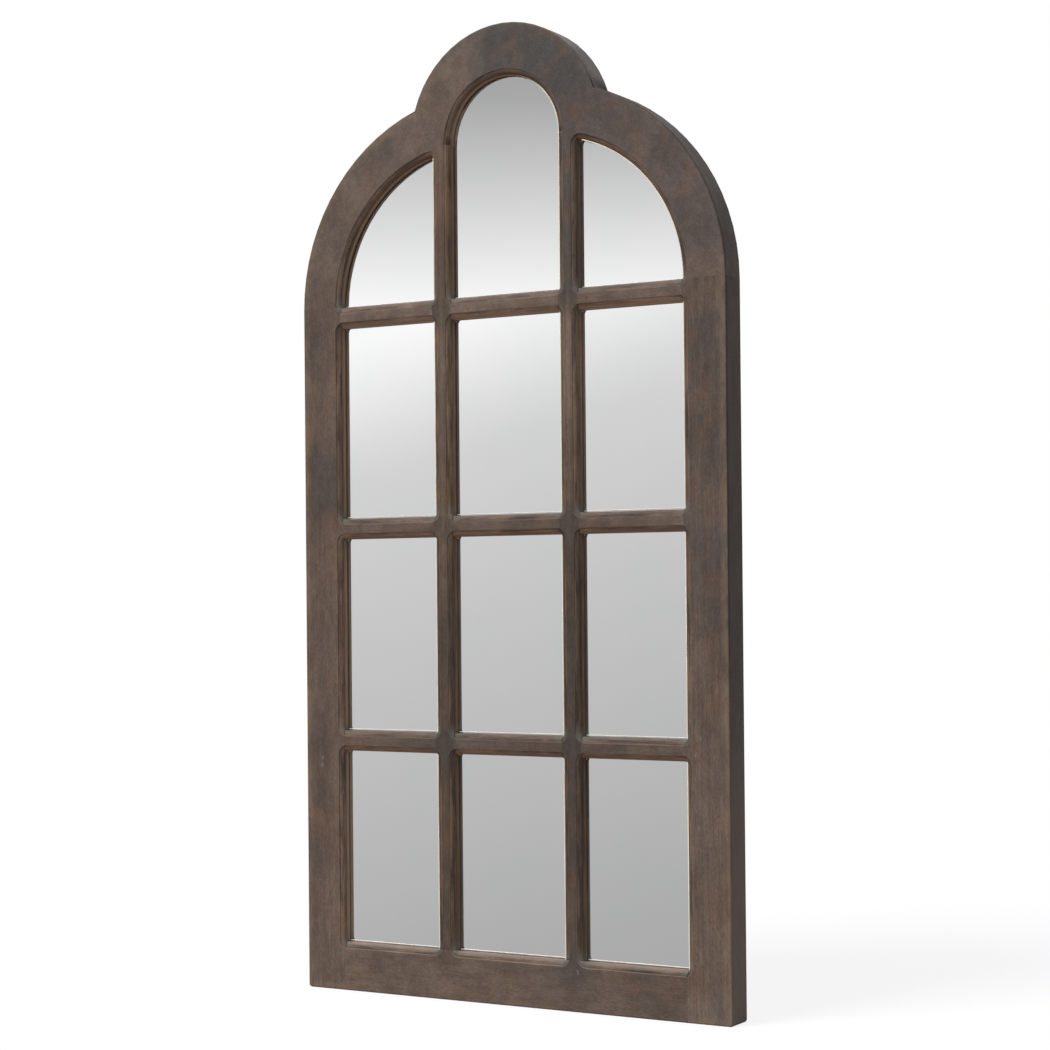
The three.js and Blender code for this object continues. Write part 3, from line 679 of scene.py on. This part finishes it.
cool = (71, 68, 66)
shadow = (58, 49, 43)
pale_toward_foot = (108, 90, 77)
tan = (114, 94, 80)
rust = (92, 54, 22)
bare = (124, 105, 89)
finishes = {
    "left_stile": stained_wood("left_stile_stain", 90, (80, 67, 60), (97, 81, 71), [
        ("X", -0.282, -0.256, tan, 0.45),
        # Paler towards the foot
        ("Z", 0.2, 0.05, pale_toward_foot, 0.3),
        ("Z", 0.58, 0.63, (64, 57, 53), 0.6, 0.67, 0.74),
        ("Z", 0.79, 0.86, (80, 67, 59), 0.45),
    ], streaky=0.09, rubbed=0.3, wall_painted_light=0.52),
    "right_stile": stained_wood("right_stile_stain", 90, (80, 67, 59), (97, 82, 73), [
        # Paler towards the foot
        ("Z", 0.5, 0.2, pale_toward_foot, 0.5),
        ("Z", 0.4, 0.5, (76, 67, 62), 0.35, 0.68, 0.76),
        ("Z", 0.05, 0.02, (116, 104, 95), 0.35),
    ], streaky=0.12, rubbed=0.3),
    "rail": stained_wood("foot_rail_stain", 0, (86, 72, 63), (106, 90, 79), [
        ("X", -0.17, -0.26, tan, 0.75),
        ("X", -0.12, -0.07, tan, 0.3, -0.03, 0.02),
        ("X", -0.03, 0.03, (84, 73, 66), 0.45, 0.18, 0.25),
    ], ledge=(192, 172, 157)),
    "crown": stained_wood("crown_stain", 45, (99, 85, 75), (117, 101, 89), [
        ("X", -0.08, -0.01, cool, 0.92),
        ("Z", 1.145, 1.11, (84, 71, 64), 0.55),
    ], streaky=0.03, smudge=0.01, rubbed=0.12, pooled=0.25, dusty=0.75, underside=rust),
    "left_haunch": stained_wood("left_haunch_stain", 45, (88, 75, 67), (108, 93, 83), [
        ("Z", 0.97, 0.89, (87, 74, 66), 0.75),
    ], streaky=0.03, smudge=0.01, rubbed=0.4, pooled=0.25, underside=rust),
    "right_haunch": stained_wood("right_haunch_stain", -45, (81, 70, 65), (96, 83, 77), [
        ("Z", 1.02, 0.94, cool, 0.4),
        ("Z", 1.06, 1.09, cool, 0.4),
        ("Z", 0.94, 0.89, tan, 0.6),
    ], streaky=0.03, smudge=0.01, rubbed=0.05, dusty=0.2),
    "left_mullion": stained_wood("left_mullion_stain", 90, (88, 72, 59), (111, 92, 77), [
        ("Z", 0.6, 0.44, shadow, 0.7),
        ("Z", 0.7, 0.78, bare, 0.5, 0.83, 0.88),
        ("Z", 0.86, 0.91, (80, 69, 61), 0.6, 0.96, 1.0),
    ], pooled=0.26, wall_painted_light=0.2, beside=0.3),
    "right_mullion": stained_wood("right_mullion_stain", 90, (86, 72, 61), (108, 92, 79), [
        ("Z", 0.66, 0.5, shadow, 0.85, 0.2, 0.1),
        ("Z", 0.2, 0.1, shadow, 0.45),
        ("Z", 0.7, 0.78, bare, 0.7, 0.84, 0.88),
        ("Z", 0.85, 0.92, (78, 71, 66), 0.75),
    ], pooled=0.36, wall_painted_light=0.12, beside=0.3),
    "bottom_bar": stained_wood("bottom_bar_stain", 0, (80, 67, 59), (104, 88, 78), crossed=0.65,
                               underside=(124, 90, 64)),
    "middle_bar": stained_wood("middle_bar_stain", 0, (85, 71, 62), (108, 91, 80), [
        ("X", 0.16, 0.2, tan, 0.5),
    ], crossed=0.5, underside=(124, 90, 64)),
    "top_bar": stained_wood("top_bar_stain", 0, (97, 81, 71), (122, 103, 91), crossed=0.3,
                            underside=(144, 110, 84)),
    "mirror": silvered_glass(),
    "board": pressed_board(),
    "dowel": beech(),
    "zinc": zinc(),
    "rubber": rubber(),
    "filler": patchy("wood_filler", 0.004, (96, 90, 81), (112, 105, 96), 0.85),
    # Painted highlight: the pale line on the arris of the moulding
    "arris": painted_arris_highlight(),
    # Painted highlight: the pale line at the foot of each pane
    "foot_highlight": patchy("painted_foot_highlight", 0.02, (232, 228, 218), (246, 243, 236), 0.95),
}


# Pieces

def paint(mesh, finish):
    mesh.materials.clear()
    mesh.materials.append(finishes[finish])


def new_piece(name, mesh, finish, body):
    piece = in_scene(name, mesh)
    paint(mesh, finish)
    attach(piece, body)
    return piece


def merged_copy(node):
    """A copy of a solid's mesh, and a working copy of that with its doubles and flat edges merged."""
    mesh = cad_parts[node].data.copy()
    shape = bmesh.new()
    shape.from_mesh(mesh)
    bmesh.ops.remove_doubles(shape, verts=shape.verts, dist=merge_distance)
    bmesh.ops.dissolve_limit(shape, angle_limit=flat_angle, verts=shape.verts, edges=shape.edges)
    return mesh, shape


def smooth_mesh(mesh, shape, sharp_angle):
    shape.to_mesh(mesh)
    shape.free()
    mesh.shade_smooth()
    mesh.set_sharp_from_angle(angle=math.radians(sharp_angle))


def close_joints(shape, moves):
    """Shoulders that stand a hair off their neighbour are drawn up to it, as glued ones are."""
    for point, direction, travel in moves:
        for vertex in shape.verts:
            if abs((vertex.co - point).dot(direction)) < touching:
                vertex.co += direction * travel


def mark_routed(mesh):
    """A face attribute that says which faces the router cut: the moulding round the openings."""
    routed = mesh.attributes.new("routed", "FLOAT", "FACE")
    for face in mesh.polygons:
        centre = face.center
        cut = centre.y > face_y + hair and centre.y < face_y + glass_depth - hair
        cut = cut and growth_at(centre.x, centre.z) < ovolo_width + step_width + routing_reach
        routed.data[face.index].value = 1.0 if cut else 0.0


def smooth_wood(node, finish, moves=()):
    mesh, shape = merged_copy(node)
    close_joints(shape, moves)
    smooth_mesh(mesh, shape, sharp_angle=50)
    mark_routed(mesh)
    piece = new_piece(node + "_wood", mesh, finish, "frame")
    weighted = piece.modifiers.new("even_shading", "WEIGHTED_NORMAL")
    weighted.keep_sharp = True
    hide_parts(node)


def axis_move(axis, place, travel):
    """A move along one axis, for what lies at a place on it."""
    direction = Vector([float(letter == axis) for letter in "XYZ"])
    return direction * place, direction, travel


def joint_line():
    """Where the crown's joint with the right haunch starts, and the way across it."""
    haunch, crown = Vector((outer_haunch_x, spring_height)), Vector((0, crown_height))
    along = crown - haunch
    distance = along.length
    along.normalize()
    reach = (outer_haunch_radius ** 2 - crown_radius ** 2 + distance ** 2) / (2 * distance)
    rise = math.sqrt(outer_haunch_radius ** 2 - reach ** 2)
    notch = haunch + along * reach + Vector((along.y, -along.x)) * rise
    foot = Vector((mullion_outer + routing_allowance, pane_arch_height))
    way = (notch - foot).normalized()
    return foot, Vector((way.y, -way.x))


def crown_joint_move(sign, side):
    """Draws the crown, or the haunch beside it, up to their shared joint line."""
    foot, across = joint_line()
    direction = Vector((sign * across.x, 0, across.y))
    point = Vector((sign * foot.x, 0, foot.y)) + direction * side * joint_gap / 2
    return point, direction, -side * (joint_gap / 2 - hair)


def dress_wood():
    """Every wooden piece, with its joints closed. Where two long pieces meet, each is drawn half the way."""
    close = joint_gap - glue_line
    half = joint_gap / 2 - hair
    for side, sign in (("left", -1), ("right", 1)):
        smooth_wood(side + "_stile", side + "_stile", [axis_move("Z", spring_height - joint_gap / 2, half)])
        mullion_side = sign * (mullion_outer + routing_allowance + joint_gap)
        smooth_wood(side + "_haunch", side + "_haunch", [
            axis_move("Z", spring_height + joint_gap / 2, -half),
            axis_move("X", mullion_side, -sign * close),
            crown_joint_move(sign, 1),
        ])
        smooth_wood(side + "_mullion", side + "_mullion", [
            axis_move("Z", foot_rail_width + routing_allowance + joint_gap, -close),
            axis_move("Z", pane_arch_height - joint_gap / 2, half),
        ])
    smooth_wood("crown", "crown", [
        axis_move("Z", pane_arch_height + joint_gap / 2, -half),
        crown_joint_move(-1, -1),
        crown_joint_move(1, -1),
    ])
    end = side_sight - routing_allowance
    rail_moves = [axis_move("X", end - joint_gap, close), axis_move("X", joint_gap - end, -close)]
    smooth_wood("foot_rail", "rail", rail_moves)
    inner, outer = mullion_inner - routing_allowance, mullion_outer + routing_allowance
    ends = {"left": (-end, -outer), "middle": (-inner, inner), "right": (outer, end)}
    for row in ("bottom_bar", "middle_bar", "top_bar"):
        for column, (left, right) in ends.items():
            moves = [axis_move("X", left + joint_gap, -close), axis_move("X", right - joint_gap, close)]
            smooth_wood(f"{row}_{column}", row, moves)


# Geometry node trees for what follows a path or repeats
screw_sizes = ["Head Radius", "Shank Radius", "Length", "Slot Length", "Slot Width", "Slot Depth"]


def new_tree(name, sizes):
    tree = bpy.data.node_groups.new(name, "GeometryNodeTree")
    tree.interface.new_socket(name="Geometry", in_out="INPUT", socket_type="NodeSocketGeometry")
    for label, kind in sizes:
        tree.interface.new_socket(name=label, in_out="INPUT", socket_type=f"NodeSocket{kind}")
    tree.interface.new_socket(name="Geometry", in_out="OUTPUT", socket_type="NodeSocketGeometry")
    return tree, add(tree, "NodeGroupInput").outputs, add(tree, "NodeGroupOutput").inputs


def random_turn(tree, least, most, seed):
    inputs = {"Min": least, "Max": most, "Seed": seed}
    made = add(tree, "FunctionNodeRandomValue", inputs, data_type="FLOAT")
    return [socket for socket in made.outputs if socket.enabled][0]


def finish_tree(tree, given, out, geometry):
    real = add(tree, "GeometryNodeRealizeInstances", {0: geometry}).outputs[0]
    painted = add(tree, "GeometryNodeSetMaterial", {"Geometry": real, "Material": given["Finish"]})
    wire(tree, painted.outputs[0], out["Geometry"])


def wire_along_path():
    """A round wire along the edges of the mesh it is given."""
    sizes = [("Wire Radius", "Float"), ("Sides", "Int"), ("Finish", "Material")]
    tree, given, out = new_tree("wire_along_path", sizes)
    path = add(tree, "GeometryNodeMeshToCurve", {"Mesh": given["Geometry"]}).outputs[0]
    section = {"Resolution": given["Sides"], "Radius": given["Wire Radius"]}
    circle = add(tree, "GeometryNodeCurvePrimitiveCircle", section).outputs[0]
    swept = {"Curve": path, "Profile Curve": circle, "Fill Caps": True}
    tube = add(tree, "GeometryNodeCurveToMesh", swept).outputs[0]
    smooth = add(tree, "GeometryNodeSetShadeSmooth", {0: tube}).outputs[0]
    finish_tree(tree, given, out, smooth)
    return tree


def screws_at_points():
    """Countersunk cross-recess screws at each point, heads up along +Y, each turned its own way."""
    sizes = [(name, "Float") for name in screw_sizes] + [("Finish", "Material")]
    tree, given, out = new_tree("screws_at_points", sizes)
    wide, narrow = given["Head Radius"], given["Shank Radius"]
    rise = difference(tree, wide, narrow)
    cone = {"Vertices": 28, "Radius Top": wide, "Radius Bottom": narrow, "Depth": rise}
    head = add(tree, "GeometryNodeMeshCone", cone).outputs[0]
    down = product(tree, rise, -1.0)
    sunk = vector_of(tree, Z=down)
    head = add(tree, "GeometryNodeTransform", {"Geometry": head, "Translation": sunk}).outputs[0]
    size = vector_of(tree, X=given["Slot Length"], Y=given["Slot Width"], Z=given["Slot Depth"])
    slot = add(tree, "GeometryNodeMeshCube", {"Size": size}).outputs[0]
    joined = add(tree, "GeometryNodeJoinGeometry")
    for turn in (0, quarter):
        crossed = add(tree, "GeometryNodeTransform", {"Geometry": slot, "Rotation": (0, 0, turn)})
        tree.links.new(crossed.outputs[0], joined.inputs[0])
    cut = add(tree, "GeometryNodeMeshBoolean", operation="DIFFERENCE")
    tree.links.new(head, cut.inputs["Mesh 1"])
    tree.links.new(joined.outputs[0], cut.inputs["Mesh 2"])
    reach = difference(tree, given["Length"], rise)
    stem = {"Vertices": 16, "Radius": narrow, "Depth": reach}
    shank = add(tree, "GeometryNodeMeshCylinder", stem).outputs[0]
    seat = vector_of(tree, Z=difference(tree, down, product(tree, reach, 0.5)))
    shank = add(tree, "GeometryNodeTransform", {"Geometry": shank, "Translation": seat}).outputs[0]
    whole = add(tree, "GeometryNodeJoinGeometry")
    tree.links.new(cut.outputs[0], whole.inputs[0])
    tree.links.new(shank, whole.inputs[0])
    spin = vector_of(tree, Z=random_turn(tree, least=0.0, most=1.5, seed=7))
    upright = {"Points": given["Geometry"], "Instance": whole.outputs[0], "Rotation": (-quarter, 0, 0)}
    placed = add(tree, "GeometryNodeInstanceOnPoints", upright).outputs[0]
    spun = {"Instances": placed, "Rotation": spin, "Local Space": True}
    turned = add(tree, "GeometryNodeRotateInstances", spun).outputs[0]
    finish_tree(tree, given, out, turned)
    return tree


def dabs_at_points():
    """Flat oval dabs of filler in the face, one at each point."""
    tree, given, out = new_tree("dabs_at_points", [("Dab Size", "Vector"), ("Finish", "Material")])
    dab = add(tree, "GeometryNodeMeshUVSphere", {"Segments": 20, "Rings": 10, "Radius": 1.0}).outputs[0]
    dab = add(tree, "GeometryNodeSetShadeSmooth", {0: dab}).outputs[0]
    lean = vector_of(tree, Y=random_turn(tree, least=-0.4, most=0.4, seed=3))
    placed = add(tree, "GeometryNodeInstanceOnPoints", {
        "Points": given["Geometry"], "Instance": dab, "Rotation": lean, "Scale": given["Dab Size"],
    }).outputs[0]
    finish_tree(tree, given, out, placed)
    return tree


def grown(name, points, edges, tree, values, body):
    """Runs a tree on points and the edges between them, and keeps the result as a plain mesh."""
    base = bpy.data.meshes.new(name + "_base")
    base.from_pydata(points, edges, [])
    carrier = in_scene(name + "_base", base)
    modifier = carrier.modifiers.new("grow", "NODES")
    modifier.node_group = tree
    for item in tree.interface.items_tree:
        if item.in_out == "INPUT" and item.name in values:
            modifier[item.identifier] = values[item.name]
    finished = carrier.evaluated_get(bpy.context.evaluated_depsgraph_get())
    mesh = bpy.data.meshes.new_from_object(finished)
    mesh.name = name
    bpy.data.objects.remove(carrier)
    piece = in_scene(name, mesh)
    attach(piece, body)
    return piece


def loop_edges(count):
    return [(i, (i + 1) % count) for i in range(count)]


def lay_lines(name, growth, depth, belongs, radius, finish, sides):
    """Fine round lines at a depth, along those stretches of the sight lines that belong to them."""
    points, edges = [], []
    for outline in sight_outlines(growth):
        first = len(points)
        points += [(x, depth, z) for x, z in outline]
        for start, end in loop_edges(len(outline)):
            (x0, z0), (x1, z1) = outline[start], outline[end]
            if belongs(x1 - x0, z1 - z0):
                edges.append((first + start, first + end))
    values = {"Wire Radius": radius, "Sides": sides, "Finish": finishes[finish]}
    grown(name, points, edges, wire_along_path_tree, values, "frame")


def lay_arris_lines():
    """A painted highlight shows as a fine pale line along the round of the moulding on the right of each
    pane.
    """
    def on_right(across, up):
        return up > arris_rise * math.hypot(across, up)

    depth = face_y + step_depth + ovolo_depth / 2
    lay_lines("painted_arris_highlight_lines", arris_growth, depth, on_right, arris_radius, "arris", sides=10)


def lay_foot_highlight_lines():
    """A painted highlight lies as a fine pale line along the foot of each pane, on the glass just above the
    moulding.
    """
    def at_foot(across, up):
        return across > foot_line_run * math.hypot(across, up)

    depth = face_y + glass_depth - foot_line_lift
    lay_lines("painted_foot_highlight_lines", foot_line_growth, depth, at_foot, foot_line_radius, "foot_highlight", sides=8)


def hang_rings():
    """The wire of a ring has a straight top in the knuckle, two bends, two legs and a half circle."""
    path = corner_arc(ring_bend - ring_half_width, -ring_bend, ring_bend, 1)
    path += arc_points(0, -ring_bend - ring_leg, ring_half_width, math.pi, 2 * math.pi, ring_steps)
    path += corner_arc(ring_half_width - ring_bend, -ring_bend, ring_bend, 0)
    values = {"Wire Radius": ring_wire, "Sides": 14, "Finish": finishes["zinc"]}
    edges = loop_edges(len(path))
    for side, sign in (("left", -1), ("right", 1)):
        points = [(sign * pivot_x + x, pivot_y, pivot_height + z) for x, z in path]
        name, body = side + "_ring_wire", side + "_ring"
        ring = grown(name, points, edges, wire_along_path_tree, values, body)
        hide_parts(side + "_hanger_ring")


def drive_screws():
    """The screws' places are read from the solids that they stand for."""
    kinds = {"panel": (3.5, 1.75, 16, 3.6, 0.75, 2.4), "hanger": (4, 2, 25, 4.2, 0.85, 2.4)}
    for kind, sizes in kinds.items():
        nodes = sorted(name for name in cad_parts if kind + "_screw" in name)
        points = []
        for node in nodes:
            low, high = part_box(node)
            points.append(((low.x + high.x) / 2, high.y, (low.z + high.z) / 2))
        values = {name: size * MM for name, size in zip(screw_sizes, sizes)}
        values["Finish"] = finishes["zinc"]
        screws = grown(kind + "_screws", points, [], screws_at_points_tree, values, "frame")
        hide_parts(*nodes)


def fill_nail_holes():
    """Filled nail holes show as paler dabs on the stiles and at the foot of a mullion."""
    spots = [(-279.5, 299), (-281, 290), (266.5, 337), (260, 318), (263.5, 231), (263, 83), (97.5, 49)]
    points = [(x * MM, face_y + dab_depth, z * MM) for x, z in spots]
    values = {"Dab Size": dab_size, "Finish": finishes["filler"]}
    grown("nail_hole_filler", points, [], dabs_at_points_tree, values, "frame")


def soften_hardware(node, name, finish, width):
    """Gives a solid fine bevels of this width."""
    mesh, shape = merged_copy(node)
    smooth_mesh(mesh, shape, sharp_angle=45)
    piece = new_piece(name, mesh, finish, "frame")
    rounded = piece.modifiers.new("rounded_edges", "BEVEL")
    rounded.width = width
    rounded.segments = 3
    rounded.limit_method = "ANGLE"
    rounded.angle_limit = math.radians(50)
    rounded.harden_normals = True
    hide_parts(node)


def dress_kept_nodes():
    """Solids whose shape is right stay, and only take their finish."""
    slots = {
        "_mirror": ("mirror", "mirror_glass"),
        "back_panel": ("board", "back_board"),
        "_dowel_": ("dowel", "dowel_wood"),
    }
    for node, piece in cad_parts.items():
        for part, (finish, slot) in slots.items():
            if part in node:
                paint(piece.data, finish)


wire_along_path_tree = wire_along_path()
screws_at_points_tree = screws_at_points()
dabs_at_points_tree = dabs_at_points()

dress_wood()
dress_kept_nodes()
lay_arris_lines()
lay_foot_highlight_lines()
hang_rings()
drive_screws()
fill_nail_holes()
for side in ("left", "right"):
    soften_hardware(side + "_hanger_strap", side + "_strap_plate", "zinc", strap_bevel)
    soften_hardware(side + "_wall_bumper", side + "_bumper_pad", "rubber", bumper_bevel)


# Stage
white = (1, 1, 1, 1)
floor_grey = (0.7, 0.7, 0.7, 1)
floor_reach = 12
floor_drop = 0.0002
floor_glow = 1.12
floor_glow_share = 0.76
mirrored_light = 1.06
soft_light = 0.38
lamp_light = 2.3
lamp_spread, lamp_turn, lamp_rise = 25, 28, 48


def chosen(tree, share, first, second):
    return add(tree, "ShaderNodeMixShader", {0: share, 1: first, 2: second}).outputs[0]


def backdrop(tree, colour, strength):
    return add(tree, "ShaderNodeBackground", {"Color": colour, "Strength": strength}).outputs[0]


def lay_floor():
    """A pale floor a hair below the foot. The camera sees it nearly white, with a soft shadow."""
    mesh = bpy.data.meshes.new("studio_floor")
    ways = [(-1, -1), (1, -1), (1, 1), (-1, 1)]
    corners = [(x * floor_reach, y * floor_reach, -floor_drop) for x, y in ways]
    mesh.from_pydata(corners, [], [(0, 1, 2, 3)])
    floor = in_scene("studio_floor", mesh)
    material = bpy.data.materials.new("pale_floor")
    material.use_nodes = True
    tree = material.node_tree
    tree.nodes.clear()
    paper = add(tree, "ShaderNodeBsdfDiffuse", {"Color": floor_grey}).outputs[0]
    glow = add(tree, "ShaderNodeEmission", {"Color": white, "Strength": floor_glow}).outputs[0]
    seen = add(tree, "ShaderNodeLightPath").outputs["Is Camera Ray"]
    lit = chosen(tree, product(tree, seen, floor_glow_share), paper, glow)
    wire(tree, lit, add(tree, "ShaderNodeOutputMaterial").inputs["Surface"])
    mesh.materials.append(material)
    floor.visible_glossy = False


def grey_ramp(tree, value, low, high, stops):
    """Greys by a value from low to high. Each stop is a value and its grey, 0 to 255."""
    share = add(tree, "ShaderNodeMapRange", {"Value": value, "From Min": low, "From Max": high})
    made = add(tree, "ShaderNodeValToRGB", {"Fac": share.outputs["Result"]})
    shades = made.color_ramp.elements
    for place, _ in stops[1:-1]:
        shades.new((place - low) / (high - low))
    for element, (_, grey) in zip(shades, stops):
        element.color = stained(grey, grey, grey)
    return made.outputs["Color"]


def light_world():
    """White behind the object, soft light on it, and for the mirrors a grey studio with a bright band above
    eye level: the wall brightens up to the band, a little askew, and darkens above it."""
    world = bpy.data.worlds.new("studio")
    bpy.context.scene.world = world
    world.use_nodes = True
    tree = world.node_tree
    tree.nodes.clear()
    direction = add(tree, "ShaderNodeTexCoord").outputs["Generated"]
    askew_up = (-0.258, 0.152, 1)
    leaning = {0: direction, 1: askew_up}
    askew = add(tree, "ShaderNodeVectorMath", leaning, operation="DOT_PRODUCT").outputs["Value"]
    height = parts_of(tree, direction)["Z"]
    below = grey_ramp(tree, askew, -0.3, 0.13, [
        (-0.3, 150), (-0.15, 174), (0, 198), (0.07, 211), (0.085, 220), (0.115, 241), (0.13, 250),
    ])
    above = grey_ramp(tree, height, 0.12, 0.5, [
        (0.12, 251), (0.147, 229), (0.168, 210), (0.209, 169), (0.25, 155), (0.35, 190), (0.5, 225),
    ])
    band = mixed(tree, 1.0, below, above, "DARKEN")
    shown = backdrop(tree, white, 1.0)
    mirrored = backdrop(tree, band, mirrored_light)
    soft = backdrop(tree, white, soft_light)
    path = add(tree, "ShaderNodeLightPath").outputs
    lit = chosen(tree, path["Is Glossy Ray"], soft, mirrored)
    lit = chosen(tree, path["Is Transmission Ray"], lit, shown)
    lit = chosen(tree, path["Is Camera Ray"], lit, shown)
    wire(tree, lit, add(tree, "ShaderNodeOutputWorld").inputs["Surface"])


def hang_lamp():
    """One broad lamp from the front left and above, so far off that its light is even."""
    data = bpy.data.lights.new("key_lamp", "SUN")
    data.energy = lamp_light
    data.angle = math.radians(lamp_spread)
    turn, rise = math.radians(lamp_turn), math.radians(lamp_rise)
    ahead = Vector((-math.sin(turn) * math.cos(rise), -math.cos(turn) * math.cos(rise), math.sin(rise)))
    in_scene("key_lamp", data).rotation_euler = ahead.to_track_quat("Z", "Y").to_euler()


lay_floor()
light_world()
hang_lamp()
bpy.context.scene.view_settings.view_transform = "Standard"
